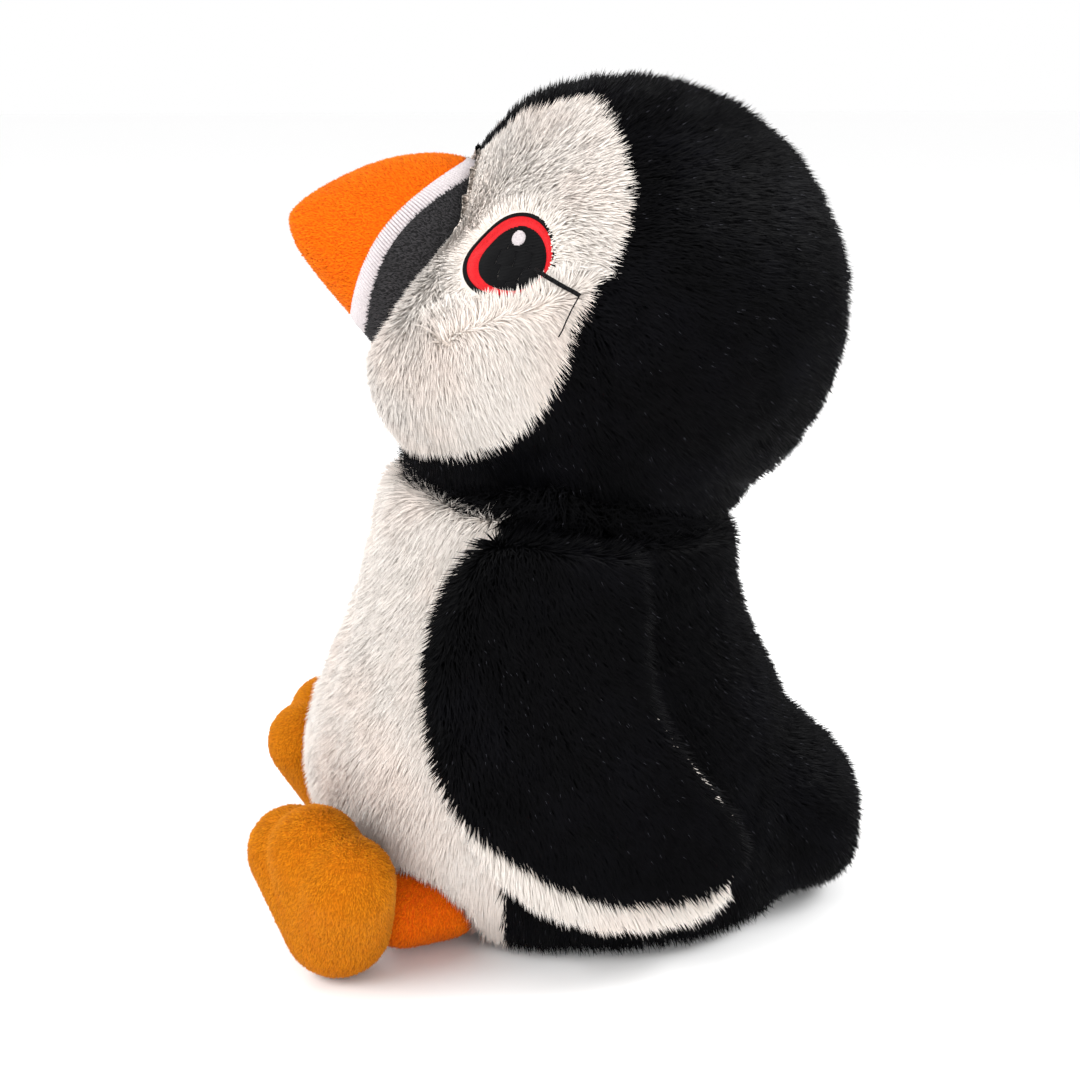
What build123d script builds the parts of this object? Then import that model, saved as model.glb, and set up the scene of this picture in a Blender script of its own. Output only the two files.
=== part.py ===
from build123d import *
from math import cos, radians, sin
import os

# Seated plush puffin.  Millimetres, +Z up, the bird faces -Y, its left side is +X.
# The origin is on the floor, under the middle of the bird.

os.makedirs("parts", exist_ok=True)

# ---- driving dimensions ---------------------------------------------------------------
skin = 3.0                # fabric backing with its pile pressed down
short_skin = 2.5          # the short-pile orange fabric
gap = 0.5                 # clearance between pieces that move past each other
seam_gap = 0.05           # two pieces sewn edge to edge

head_radius = 69.0
head_centre = Vector(0, 21.5, 198.5)
cheek_radius = 42.0
cheek_centre = Vector(24, -19, 189)
cheek_front = Plane(origin=(0, -60, 190), z_dir=(0, -0.832, 0.555))    # flat beside the beak

# outline of the white face seen from the side; the front part lies clear of the head
mask_rear = [
    (-24, 247), (-12, 258), (4, 262), (12, 252), (14.5, 238), (12, 225), (5, 212), (-2, 200),
    (-6, 187), (-13, 176), (-26, 167), (-42, 163), (-62, 162),
]
mask_front = [(-95, 162), (-95, 250)]
strip_apex = Vector(0, -24, 240)
strip_end = Vector(0, 30, 262)
strip_half_widths = (5, 26)
crown_back = Plane(origin=(0, 43, 250), z_dir=(0, 1, -0.35))
crown_side_z = 226
chin_back_y = 8
chin_top_z = 172

neck_pivot = Vector(0, 2, 137)
neck_radius = 46.0
neck_lean = 9.6           # degrees the neck axis leans back from vertical
neck_crease = 7.5         # height of the head's lower edge above the neck plane

# torso sections, belly to back: (belly y, belly z), (back y, back z), half width
torso_sections = [
    ((-40, 0), (70, 0), 46),
    ((-61, 8), (79, 8), 57),
    ((-77, 30), (83, 29), 67),
    ((-82, 54), (79, 55), 69),
    ((-71, 90), (68, 83), 62),
    ((-60, 122), (59, 106), 54),
    ((-51, 146), (55, 128), 50),
]
belly_seam_y = -20        # side seam between the white belly and the black back
base_height = 6           # the base panel is the bottom of the torso up to here

# tail sections, root to end: (lower y, lower z), (upper y, upper z), half width
tail_sections = [
    ((60, 4), (64, 69), 37),
    ((79, 2), (81, 61), 35),
    ((92, 5), (92, 51), 28),
    ((98.5, 12), (98, 42), 18),
]
tail_end = (101.3, 27)
tail_seam_z = 30

# beak sections, face to end: (lower y, lower z), (upper y, upper z), half width
beak_sections = [
    ((-52, 184), (-15, 238), 29),
    ((-60, 190), (-22, 241), 27.5),
    ((-64, 195.5), (-27, 243.5), 25.5),
    ((-68.5, 201), (-39, 245), 21.5),
    ((-74, 208), (-53, 243), 17),
    ((-79, 215), (-67, 237.5), 11.5),
    ((-81.8, 221), (-77.5, 231.5), 6),
]
beak_end = (-82.4, 226.5)
# the seams round the beak curve forward at its sides: (lower y, lower z), (upper y, upper z)
grey_seam = ((-60, 190), (-22, 241))
rim_seam = ((-64, 195.5), (-27, 243.5))
seam_curve = 31.0         # radius of that curve

# eye: a round embroidered patch on the side of the face
eye_centre = Vector(53.4, -17, 219.5)
eye_radius = 13.6
eye_outline = 0.7
pupil_radius = 9.9
pupil_offset = (0.9, -0.6)
highlight_radius = 2.1
highlight_offset = (0.4, 5.6)
stitch_height = 0.7       # how far the embroidery stands up from the face
lash_length = 14
lash_width = 1.3
lash_turn = -21           # degrees in the plane of the eye

# wings
wing_thickness = 13.0
wing_room = 1.0           # between the wing and the torso
wing_top = 140.0
wing_outline = [
    (18, 140), (22, 122), (22, 104), (25, 88), (33, 75), (45, 60), (52, 46), (52, 34), (44, 25),
    (26, 20), (3, 23), (-19, 35), (-34, 55), (-41, 75), (-43, 95), (-39, 115), (-30, 132), (-22, 140),
]

# legs and feet
leg_radius = 13.8
hip = Vector(37.3, -38.5, 15.6)
ankle = Vector(42.4, -51.3, 15.6)
heel = Vector(56.2, -71, 17.3)
heel_radius = 17.0
toe_radius = 14.4
toe_spread = 15.0         # sideways from the heel to the outer toes
toe_reach = 20.5
middle_toe_reach = 26.0
foot_splay = 35           # degrees the foot turns outward
foot_lean = 16            # degrees the toes lean forward
hip_swings = (-12, -4, 4, 12, 20)

# weighted pouch in the seat
pouch_centre = Vector(0, 8, 19)
pouch_size = (40, 46, 13)
pouch_cloth = 1.0

# ---- shared shapes --------------------------------------------------------------------
neck_axis = Vector(0, sin(radians(neck_lean)), cos(radians(neck_lean)))
neck_plane = Plane(origin=neck_pivot, x_dir=(1, 0, 0), z_dir=neck_axis)
big = 400


def oval(lower, upper, half_width, inset=0.0):
    """An elliptical section through two points of the middle plane."""
    low = Vector(0, *lower)
    high = Vector(0, *upper)
    middle = (low + high) * 0.5
    plane = Plane(origin=middle, x_dir=(1, 0, 0), z_dir=Vector(1, 0, 0).cross(high - low))
    with BuildSketch(plane) as section:
        Ellipse(half_width - inset, (high - low).length / 2 - inset)
    return section.sketch


def torso_form(inset=0.0):
    """The torso's outer shape, or a shape inside or outside it."""
    with BuildPart(mode=Mode.PRIVATE) as form:
        loft([oval(*section, inset) for section in torso_sections])
    return form.part


def tail_form(inset=0.0):
    """The tail lobe, rounded at its end."""
    end = Vertex(0, tail_end[0] - inset, tail_end[1])
    with BuildPart(mode=Mode.PRIVATE) as form:
        loft([oval(*section, inset) for section in tail_sections] + [end])
    return form.part


def beak_form(inset=0.0):
    """The whole beak from the face to its end."""
    end = Vertex(0, beak_end[0] + inset, beak_end[1])
    with BuildPart(mode=Mode.PRIVATE) as form:
        loft([oval(*section, inset) for section in beak_sections] + [end])
    return form.part


def head_form(inset=0.0):
    """The head: a ball with two cheeks, open below for the neck."""
    with BuildPart(mode=Mode.PRIVATE) as form:
        with Locations(cheek_centre, (-cheek_centre.X, cheek_centre.Y, cheek_centre.Z)):
            Sphere(cheek_radius - inset)
        split(bisect_by=cheek_front.offset(-inset), keep=Keep.BOTTOM)
        with Locations(head_centre):
            Sphere(head_radius - inset)
        split(bisect_by=neck_plane.offset(neck_crease + inset), keep=Keep.TOP)
        with Locations(neck_pivot):
            Sphere(neck_radius + gap + inset, mode=Mode.SUBTRACT)
    return form.part


def side_block(points, near, far):
    """A block with a smooth outline seen from the side, between two distances from the middle."""
    with BuildPart(mode=Mode.PRIVATE) as block:
        with BuildSketch(Plane.YZ.offset(near)):
            with BuildLine():
                Spline(*points)
                Line(points[-1], points[0])
            make_face()
        extrude(amount=far - near)
    return block.part


def mirrored(part):
    """The same part on the bird's right side."""
    return mirror(part, about=Plane.YZ)


def write(part, name):
    """Label one finished piece and write it."""
    part.label = name
    export_step(part, f"parts/{name}.step")


def write_pair(part, name):
    """Write a left piece and its mirrored right piece."""
    write(mirrored(part), f"{name}_right")
    write(part, f"{name}_left")


# ---- torso ----------------------------------------------------------------------------
def leg_form(radius, swing=0.0):
    """A leg: a short tube with round ends at the hip and the ankle."""
    reach = (ankle - hip).rotate(Axis.Z, swing)
    with BuildPart(Plane(origin=hip, z_dir=reach), mode=Mode.PRIVATE) as form:
        Cylinder(radius, reach.length, align=(Align.CENTER, Align.CENTER, Align.MIN))
        Sphere(radius)
        with Locations((0, 0, reach.length)):
            Sphere(radius)
    return form.part


leg_room = [leg_form(leg_radius + gap, swing) for swing in hip_swings]
leg_room += [mirrored(room) for room in leg_room]

with BuildPart() as torso_skin:
    add(torso_form())
    add(torso_form(skin), mode=Mode.SUBTRACT)
    with Locations(neck_pivot):
        Sphere(neck_radius + gap, mode=Mode.SUBTRACT)
    for room in leg_room:
        add(room, mode=Mode.SUBTRACT)

with BuildPart() as belly_panel:
    add(torso_skin.part)
    split(bisect_by=Plane.XZ.offset(-belly_seam_y), keep=Keep.TOP)
    split(bisect_by=Plane.XY.offset(base_height), keep=Keep.TOP)
write(belly_panel.part, "belly_panel")

with BuildPart() as back_panel:
    add(torso_skin.part)
    split(bisect_by=Plane.XZ.offset(-belly_seam_y - seam_gap), keep=Keep.BOTTOM)
    split(bisect_by=Plane.XY.offset(base_height), keep=Keep.TOP)
    split(bisect_by=Plane.YZ, keep=Keep.TOP)
    add(tail_form(-seam_gap), mode=Mode.SUBTRACT)
write_pair(back_panel.part, "back_panel")

with BuildPart() as base_panel:
    add(torso_form())
    add(torso_form(skin), mode=Mode.SUBTRACT)
    with BuildSketch():
        Ellipse(big, big)
    extrude(amount=skin)
    add(torso_form(), mode=Mode.INTERSECT)
    split(bisect_by=Plane.XY.offset(base_height - seam_gap), keep=Keep.BOTTOM)
    for room in leg_room:
        add(room, mode=Mode.SUBTRACT)
write(base_panel.part, "base_panel")

# ---- weighted pouch and torso stuffing ------------------------------------------------
def pouch_form(inset=0.0):
    """A flat round bag low in the seat."""
    with BuildPart(mode=Mode.PRIVATE) as form:
        Sphere(1)
        scale(by=(pouch_size[0] - inset, pouch_size[1] - inset, pouch_size[2] - inset))
    return form.part.moved(Location(pouch_centre))


with BuildPart() as pouch_cover:
    add(pouch_form())
    add(pouch_form(pouch_cloth), mode=Mode.SUBTRACT)
write(pouch_cover.part, "bean_pouch")

with BuildPart() as pellets:
    add(pouch_form(pouch_cloth + seam_gap))
write(pellets.part, "bean_pellets")

with BuildPart() as torso_stuffing:
    add(torso_form(skin + seam_gap))
    split(bisect_by=Plane.XY.offset(skin + seam_gap), keep=Keep.TOP)
    with Locations(neck_pivot):
        Sphere(neck_radius + gap, mode=Mode.SUBTRACT)
    for room in leg_room:
        add(room, mode=Mode.SUBTRACT)
    add(tail_form(-seam_gap), mode=Mode.SUBTRACT)
    add(pouch_form(-seam_gap), mode=Mode.SUBTRACT)
write(torso_stuffing.part, "torso_stuffing")

# ---- tail -----------------------------------------------------------------------------
with BuildPart() as tail_skin:
    add(tail_form())
    add(tail_form(skin), mode=Mode.SUBTRACT)
    add(torso_form(-seam_gap), mode=Mode.SUBTRACT)

with BuildPart() as tail_upper:
    add(tail_skin.part)
    split(bisect_by=Plane.XY.offset(tail_seam_z), keep=Keep.TOP)
write(tail_upper.part, "tail_upper_panel")

with BuildPart() as tail_lower:
    add(tail_skin.part)
    split(bisect_by=Plane.XY.offset(tail_seam_z - seam_gap), keep=Keep.BOTTOM)
write(tail_lower.part, "tail_lower_panel")

with BuildPart() as tail_stuffing:
    add(tail_form(skin + seam_gap))
    add(torso_form(-seam_gap), mode=Mode.SUBTRACT)
write(tail_stuffing.part, "tail_stuffing")

# ---- neck -----------------------------------------------------------------------------
with BuildPart(neck_plane) as neck_stuffing:
    Sphere(neck_radius)
write(neck_stuffing.part, "neck_stuffing")

# ---- head -----------------------------------------------------------------------------
with BuildPart() as head_skin:
    add(head_form())
    add(head_form(skin), mode=Mode.SUBTRACT)
    add(beak_form(-seam_gap), mode=Mode.SUBTRACT)
    with Locations(neck_pivot):
        Sphere(neck_radius + gap, mode=Mode.SUBTRACT)

with BuildPart() as face_region:
    with BuildSketch(Plane.YZ):
        with BuildLine():
            Spline(*mask_rear)
            Polyline(mask_rear[-1], *mask_front, mask_rear[0])
        make_face()
    extrude(amount=big / 4)

# the dark forehead strip runs back from the beak and widens
strip_run = strip_end - strip_apex
with BuildPart() as strip_region:
    with BuildSketch(Plane(origin=strip_apex, x_dir=(1, 0, 0), z_dir=Vector(1, 0, 0).cross(strip_run))):
        with BuildLine():
            Polyline(
                (-strip_half_widths[0], 0), (strip_half_widths[0], 0),
                (strip_half_widths[1], strip_run.length), (-strip_half_widths[1], strip_run.length),
                close=True,
            )
        make_face()
    extrude(amount=big / 8, both=True)

with BuildPart() as face_mask:
    add(head_skin.part)
    add(face_region.part, mode=Mode.INTERSECT)
    add(strip_region.part, mode=Mode.SUBTRACT)
write_pair(face_mask.part, "face_mask")

with BuildPart() as dark_skin:
    add(head_skin.part)
    add(face_mask.part, mode=Mode.SUBTRACT)
    add(mirrored(face_mask.part), mode=Mode.SUBTRACT)

with BuildPart() as crown_panel:
    add(dark_skin.part)
    split(bisect_by=crown_back, keep=Keep.BOTTOM)
    split(bisect_by=Plane.XY.offset(crown_side_z), keep=Keep.TOP)
write(crown_panel.part, "crown_panel")

with BuildPart() as chin_panel:
    add(dark_skin.part)
    split(bisect_by=Plane.XZ.offset(-chin_back_y), keep=Keep.TOP)
    split(bisect_by=Plane.XY.offset(chin_top_z), keep=Keep.BOTTOM)
write(chin_panel.part, "chin_panel")

with BuildPart() as head_back:
    add(dark_skin.part)
    add(crown_panel.part, mode=Mode.SUBTRACT)
    add(chin_panel.part, mode=Mode.SUBTRACT)
    split(bisect_by=Plane.YZ, keep=Keep.TOP)
write_pair(head_back.part, "head_back_panel")

with BuildPart() as head_stuffing:
    add(head_form(skin + seam_gap))
    add(beak_form(-seam_gap), mode=Mode.SUBTRACT)
write(head_stuffing.part, "head_stuffing")

# ---- beak -----------------------------------------------------------------------------
with BuildPart() as beak_skin:
    add(beak_form())
    add(beak_form(short_skin), mode=Mode.SUBTRACT)

with BuildPart() as beak_stuffing:
    add(beak_form(short_skin + seam_gap))
write(beak_stuffing.part, "beak_stuffing")


def ahead_of(lower, upper, shift=0.0):
    """The space ahead of a seam that curves forward at the sides of the beak."""
    low = Vector(0, *lower)
    high = Vector(0, *upper)
    along = (high - low).normalized()
    forward = Vector(1, 0, 0).cross(along)
    centre = (low + high) * 0.5 + forward * (seam_curve + shift)
    with BuildPart(mode=Mode.PRIVATE) as form:
        with Locations(Plane(origin=centre, x_dir=(1, 0, 0), z_dir=along)):
            Cylinder(seam_curve, big)
    return form.part


with BuildPart() as grey_band:
    add(beak_skin.part)
    add(ahead_of(*grey_seam), mode=Mode.SUBTRACT)
write(grey_band.part, "beak_grey_band")

with BuildPart() as white_rim:
    add(beak_skin.part)
    add(ahead_of(*grey_seam, seam_gap), mode=Mode.INTERSECT)
    add(ahead_of(*rim_seam), mode=Mode.SUBTRACT)
write(white_rim.part, "beak_white_rim")

with BuildPart() as beak_cover:
    add(beak_skin.part)
    add(ahead_of(*rim_seam, seam_gap), mode=Mode.INTERSECT)
    split(bisect_by=Plane.YZ, keep=Keep.TOP)
write_pair(beak_cover.part, "beak_cover")

# ---- eyes -----------------------------------------------------------------------------
eye_normal = (eye_centre - head_centre).normalized()
eye_plane = Plane(origin=eye_centre, x_dir=Vector(0, 0, 1).cross(eye_normal), z_dir=eye_normal)


def on_face(outer, hole=None, at=(0, 0), hole_at=(0, 0)):
    """A round stitched patch lying on the face, with a round hole if one is given."""
    with BuildPart(mode=Mode.PRIVATE) as patch:
        with BuildSketch(eye_plane):
            with Locations(at):
                Circle(outer)
            if hole:
                with Locations(hole_at):
                    Circle(hole, mode=Mode.SUBTRACT)
        extrude(amount=eye_radius, both=True)
        add(face_layer, mode=Mode.INTERSECT)
    return patch.part


with BuildPart() as face_shell:
    with Locations(head_centre):
        Sphere(head_radius + seam_gap + stitch_height)
    with Locations(cheek_centre):
        Sphere(cheek_radius + seam_gap + stitch_height)
        Sphere(cheek_radius + seam_gap, mode=Mode.SUBTRACT)
    with Locations(head_centre):
        Sphere(head_radius + seam_gap, mode=Mode.SUBTRACT)
face_layer = face_shell.part

ring_radius = eye_radius - eye_outline
eye_outline_ring = on_face(eye_radius, ring_radius + seam_gap)
eye_red_ring = on_face(ring_radius, pupil_radius + seam_gap, hole_at=pupil_offset)
eye_pupil = on_face(pupil_radius, highlight_radius + seam_gap, pupil_offset, highlight_offset)
eye_highlight = on_face(highlight_radius, at=highlight_offset)
write_pair(eye_outline_ring, "eye_outline")
write_pair(eye_red_ring, "eye_red_ring")
write_pair(eye_pupil, "eye_pupil")
write_pair(eye_highlight, "eye_highlight")

with BuildPart() as eye_lash:
    with BuildSketch(eye_plane):
        with Locations(Rotation(0, 0, lash_turn)):
            with Locations((eye_radius + seam_gap * 4 + lash_length / 2, 0)):
                Rectangle(lash_length, lash_width)
    extrude(amount=eye_radius, both=True)
    add(face_layer, mode=Mode.INTERSECT)
write_pair(eye_lash.part, "eye_corner_stitch")

# ---- wings ----------------------------------------------------------------------------
wing_block = side_block(wing_outline, 20, big / 4)


def wing_layer(inner, outer):
    """A layer of the wing between two distances from the torso."""
    with BuildPart(mode=Mode.PRIVATE) as layer:
        add(wing_block)
        add(torso_form(-inner), mode=Mode.SUBTRACT)
        add(torso_form(-outer), mode=Mode.INTERSECT)
    return layer.part


wing_outer_start = wing_room + wing_thickness - skin
write_pair(wing_layer(wing_room, wing_room + skin), "wing_lining")
write_pair(wing_layer(wing_room + skin + seam_gap, wing_outer_start - seam_gap), "wing_stuffing")
write_pair(wing_layer(wing_outer_start, wing_room + wing_thickness), "wing_outer_panel")

# ---- legs and feet --------------------------------------------------------------------
splay = radians(foot_splay)
lean = radians(foot_lean)
ahead = Vector(sin(splay), -cos(splay), 0)
sideways = Vector(cos(splay), sin(splay), 0)
toes_up = Vector(0, 0, cos(lean)) + ahead * sin(lean)
sole_plane = Plane(origin=heel, x_dir=sideways, z_dir=sideways.cross(toes_up))


def foot_form(inset=0.0):
    """A stuffed foot: three fat toes that run up from a round heel."""
    toe_tips = [
        sideways * -toe_spread + toes_up * toe_reach,
        toes_up * middle_toe_reach,
        sideways * toe_spread + toes_up * toe_reach,
    ]
    toes = []
    for tip in toe_tips:
        with BuildPart(Plane(origin=heel, z_dir=tip), mode=Mode.PRIVATE) as toe:
            Cone(
                heel_radius - inset, toe_radius - inset, tip.length,
                align=(Align.CENTER, Align.CENTER, Align.MIN),
            )
            Sphere(heel_radius - inset)
            with Locations((0, 0, tip.length)):
                Sphere(toe_radius - inset)
        toes.append(toe.part)
    with BuildPart(mode=Mode.PRIVATE) as form:
        for toe in toes:
            add(toe)
        with Locations(ankle):
            Sphere(leg_radius + gap, mode=Mode.SUBTRACT)
    return form.part


with BuildPart() as leg_cover:
    add(leg_form(leg_radius))
    add(leg_form(leg_radius - short_skin), mode=Mode.SUBTRACT)
write_pair(leg_cover.part, "leg_cover")

with BuildPart() as leg_stuffing:
    add(leg_form(leg_radius - short_skin - seam_gap))
write_pair(leg_stuffing.part, "leg_stuffing")

with BuildPart() as foot_skin:
    add(foot_form())
    add(foot_form(short_skin), mode=Mode.SUBTRACT)

with BuildPart() as foot_sole:
    add(foot_skin.part)
    split(bisect_by=sole_plane, keep=Keep.TOP)
write_pair(foot_sole.part, "foot_sole")

with BuildPart() as foot_upper:
    add(foot_skin.part)
    split(bisect_by=sole_plane.offset(-seam_gap), keep=Keep.BOTTOM)
write_pair(foot_upper.part, "foot_upper")

write_pair(foot_form(short_skin + seam_gap), "foot_stuffing")
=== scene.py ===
import bpy, bmesh, math
import numpy as np
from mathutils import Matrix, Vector
from mathutils.bvhtree import BVHTree


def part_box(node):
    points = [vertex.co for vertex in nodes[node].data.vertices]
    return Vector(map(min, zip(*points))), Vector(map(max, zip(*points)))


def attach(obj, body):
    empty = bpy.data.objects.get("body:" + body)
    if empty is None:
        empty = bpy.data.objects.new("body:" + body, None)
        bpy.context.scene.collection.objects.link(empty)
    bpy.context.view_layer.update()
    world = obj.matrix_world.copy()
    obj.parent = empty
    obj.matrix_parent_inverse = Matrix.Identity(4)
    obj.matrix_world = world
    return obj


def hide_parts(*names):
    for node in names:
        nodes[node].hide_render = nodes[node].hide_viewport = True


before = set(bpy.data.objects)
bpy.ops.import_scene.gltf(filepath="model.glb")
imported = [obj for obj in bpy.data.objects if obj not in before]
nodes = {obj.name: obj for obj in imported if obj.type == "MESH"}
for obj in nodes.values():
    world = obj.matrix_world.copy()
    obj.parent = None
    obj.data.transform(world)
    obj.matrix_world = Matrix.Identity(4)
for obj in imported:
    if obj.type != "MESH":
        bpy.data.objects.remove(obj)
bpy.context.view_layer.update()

mm = 0.001
sides = {"left": 1, "right": -1}  # the bird faces -Y, so its left side is +X


def toLinear(hexColour):
    channels = [int(hexColour[i:i + 2], 16) / 255 for i in (1, 3, 5)]
    return [c / 12.92 if c <= 0.04045 else ((c + 0.055) / 1.055) ** 2.4 for c in channels] + [1.0]


def addNode(tree, kind, inputs=None, **settings):
    node = tree.nodes.new(kind)
    for name, value in settings.items():
        setattr(node, name, value)
    for name, value in (inputs or {}).items():
        if isinstance(value, bpy.types.NodeSocket):
            tree.links.new(value, node.inputs[name])
        else:
            node.inputs[name].default_value = value
    return node


def newMaterial(name, shader):
    material = bpy.data.materials.new(name)
    material.use_nodes = True
    tree = material.node_tree
    principled = tree.nodes["Principled BSDF"]
    for socket, value in shader.items():
        principled.inputs[socket].default_value = value
    return material, tree, principled


# patches are soft clouds of a second tone; a painted glint makes the end of one lock in every two hundred or
# so bright
pileTint = {"patchFrom": 0.45, "patchTo": 0.75, "dullest": 0.84, "brightest": 1.12,
            "paintedGlintShare": 0.006, "paintedGlintFrom": 0.82}


# pile of polyester fibres: darker and warmer at the root, each lock a little different
def pileMaterial(name, colours, shader, patchSize, detail=2.0):
    root, tip, patch, paintedGlint = (toLinear(colour) for colour in colours)
    material, tree, principled = newMaterial(name, shader)
    along = addNode(tree, "ShaderNodeAttribute", attribute_name="along")
    shade = addNode(tree, "ShaderNodeAttribute", attribute_name="shade")
    place = addNode(tree, "ShaderNodeTexCoord")
    cloud = addNode(tree, "ShaderNodeTexNoise",
                    {"Vector": place.outputs["Object"], "Scale": 1 / patchSize,
                     "Detail": detail, "Roughness": 0.65})
    lift = addNode(tree, "ShaderNodeMix", {"Factor": along.outputs["Fac"], 6: root, 7: tip}, data_type="RGBA")
    clump = addNode(tree, "ShaderNodeMapRange",
                    {"Value": cloud.outputs["Fac"], "From Min": pileTint["patchFrom"],
                     "From Max": pileTint["patchTo"]})
    tint = addNode(tree, "ShaderNodeMix", {"Factor": clump.outputs["Result"], 6: lift.outputs[2], 7: patch},
                   data_type="RGBA")
    vary = addNode(tree, "ShaderNodeMapRange",
                   {"Value": shade.outputs["Fac"], "To Min": pileTint["dullest"],
                    "To Max": pileTint["brightest"]})
    bright = addNode(tree, "ShaderNodeHueSaturation",
                     {"Value": vary.outputs["Result"], "Color": tint.outputs[2]})
    # the last colour is a painted glint: a painted highlight on the outer end of a few locks
    rare = addNode(tree, "ShaderNodeMath", {0: shade.outputs["Fac"], 1: 1 - pileTint["paintedGlintShare"]},
                   operation="GREATER_THAN")
    end = addNode(tree, "ShaderNodeMath", {0: along.outputs["Fac"], 1: pileTint["paintedGlintFrom"]},
                  operation="GREATER_THAN")
    both = addNode(tree, "ShaderNodeMath", {0: rare.outputs[0], 1: end.outputs[0]}, operation="MULTIPLY")
    glint = addNode(tree, "ShaderNodeMix",
                    {"Factor": both.outputs[0], 6: bright.outputs["Color"], 7: paintedGlint}, data_type="RGBA")
    tree.links.new(glint.outputs[2], principled.inputs["Base Color"])
    return material


# knitted backing under the pile, or the ground of short plush: fine loops a little under a millimetre apart
def knitMaterial(name, low, high, shader, loopSize, bump):
    material, tree, principled = newMaterial(name, shader)
    place = addNode(tree, "ShaderNodeTexCoord")
    loops = addNode(tree, "ShaderNodeTexNoise",
                    {"Vector": place.outputs["Object"], "Scale": 1 / loopSize,
                     "Detail": 3.0, "Roughness": 0.6})
    cloud = addNode(tree, "ShaderNodeTexNoise",
                    {"Vector": place.outputs["Object"], "Scale": 0.08 / loopSize, "Detail": 2.0})
    mixed = addNode(tree, "ShaderNodeMix", {0: 0.5, 2: loops.outputs["Fac"], 3: cloud.outputs["Fac"]})
    colour = addNode(tree, "ShaderNodeMix",
                     {"Factor": mixed.outputs[0], 6: toLinear(low), 7: toLinear(high)}, data_type="RGBA")
    relief = addNode(tree, "ShaderNodeBump",
                     {"Height": loops.outputs["Fac"], "Strength": bump, "Distance": loopSize * 0.5})
    tree.links.new(colour.outputs[2], principled.inputs["Base Color"])
    tree.links.new(relief.outputs["Normal"], principled.inputs["Normal"])
    return material


# rayon embroidery thread: twisted, so it has fine slanting lines and a silky shine
def threadMaterial(name, low, high, shader, twist):
    material, tree, principled = newMaterial(name, shader)
    place = addNode(tree, "ShaderNodeTexCoord")
    lines = addNode(tree, "ShaderNodeTexNoise",
                    {"Vector": place.outputs["Object"], "Scale": 1 / twist, "Detail": 1.0})
    colour = addNode(tree, "ShaderNodeMix",
                     {"Factor": lines.outputs["Fac"], 6: toLinear(low), 7: toLinear(high)}, data_type="RGBA")
    tree.links.new(colour.outputs[2], principled.inputs["Base Color"])
    return material


# long polyester pile has a faint silky shine, short plush almost none; the dark cloth under black fur none
furShader = {"Roughness": 0.55, "IOR": 1.5, "Sheen Weight": 0.05, "Sheen Roughness": 0.4,
             "Specular IOR Level": 0.25}
blackShader = {"Roughness": 0.46, "IOR": 1.5, "Specular IOR Level": 0.05}
plushShader = {"Roughness": 0.8, "IOR": 1.45, "Specular IOR Level": 0.1, "Sheen Weight": 0.02,
               "Sheen Roughness": 0.5}
darkShader = {"Roughness": 0.9, "IOR": 1.45, "Specular IOR Level": 0.05}
threadShader = {"Roughness": 0.45, "IOR": 1.5, "Specular IOR Level": 0.25}
darkThreadShader = {"Roughness": 0.5, "IOR": 1.5, "Specular IOR Level": 0.1}

# pile colours run root, tip, patch, then the painted glint colour; patches are a few centimetres wide on fur
# and 6 to 9 mm on plush
materials = {
    # long faux fur, knitted and sheared: soft grey shadows between warm white tips
    "whitePile": pileMaterial("white_faux_fur", ("#dcd1c7", "#f1eae3", "#eee0d6", "#ffffff"),
                              furShader, 30 * mm),
    # the same fur dyed black: nearly no light comes back; the single bright fibre ends are painted glints
    "blackPile": pileMaterial("black_faux_fur", ("#010102", "#060608", "#09090d", "#44444a"),
                              blackShader, 24 * mm),
    # short velvety plush, brushed both ways: a dense matt nap that mottles in small patches
    "goldPile": pileMaterial("golden_short_plush", ("#b46204", "#e28c10", "#cc7206", "#f0a030"),
                             plushShader, 9 * mm, 5.0),
    "orangePile": pileMaterial("orange_short_plush", ("#d65000", "#fa8206", "#e86400", "#ff9a2a"),
                               plushShader, 9 * mm, 5.0),
    "greyPile": pileMaterial("grey_short_plush", ("#19191a", "#4c4a4c", "#2f2e2f", "#77767a"),
                             plushShader, 6 * mm, 5.0),
    # knitted polyester the pile is rooted in: matt; its loops are too fine to show, so drawn twice as coarse
    "whiteKnit": knitMaterial("white_knit_backing", "#d6cac0", "#e8dfd6", plushShader, 0.8 * mm, 0.3),
    "blackKnit": knitMaterial("black_knit_backing", "#020202", "#060607", darkShader, 0.8 * mm, 0.3),
    "goldKnit": knitMaterial("golden_plush_ground", "#a85a04", "#c87206", plushShader, 0.7 * mm, 0.4),
    "orangeKnit": knitMaterial("orange_plush_ground", "#cc4c02", "#e86004", plushShader, 0.7 * mm, 0.4),
    "greyKnit": knitMaterial("grey_plush_ground", "#161617", "#2a292a", plushShader, 0.7 * mm, 0.4),
    # machine embroidery thread in rayon: silky, with a slight twist that breaks up the shine
    "whiteThread": threadMaterial("white_rayon_thread", "#a89fa2", "#ded7d8", threadShader, 0.5 * mm),
    "blackThread": threadMaterial("black_rayon_thread", "#040405", "#0e0e10", darkThreadShader, 0.5 * mm),
    "redThread": threadMaterial("red_rayon_thread", "#a8040c", "#e01520", threadShader, 0.5 * mm),
}
print("materials made")


def linked(name, mesh):
    thing = bpy.data.objects.new(name, mesh)
    bpy.context.scene.collection.objects.link(thing)
    return thing


def coordinates(mesh):
    found = np.empty(len(mesh.vertices) * 3)
    mesh.vertices.foreach_get("co", found)
    return found.reshape(-1, 3)


def normalsOf(mesh):
    found = np.empty(len(mesh.vertices) * 3)
    mesh.vertex_normals.foreach_get("vector", found)
    return found.reshape(-1, 3)


def setCoordinates(mesh, points):
    mesh.vertices.foreach_set("co", np.asarray(points, float).ravel())
    mesh.update()


def unit(vectors):
    return vectors / np.maximum(np.linalg.norm(vectors, axis=-1, keepdims=True), 1e-9)


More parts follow.
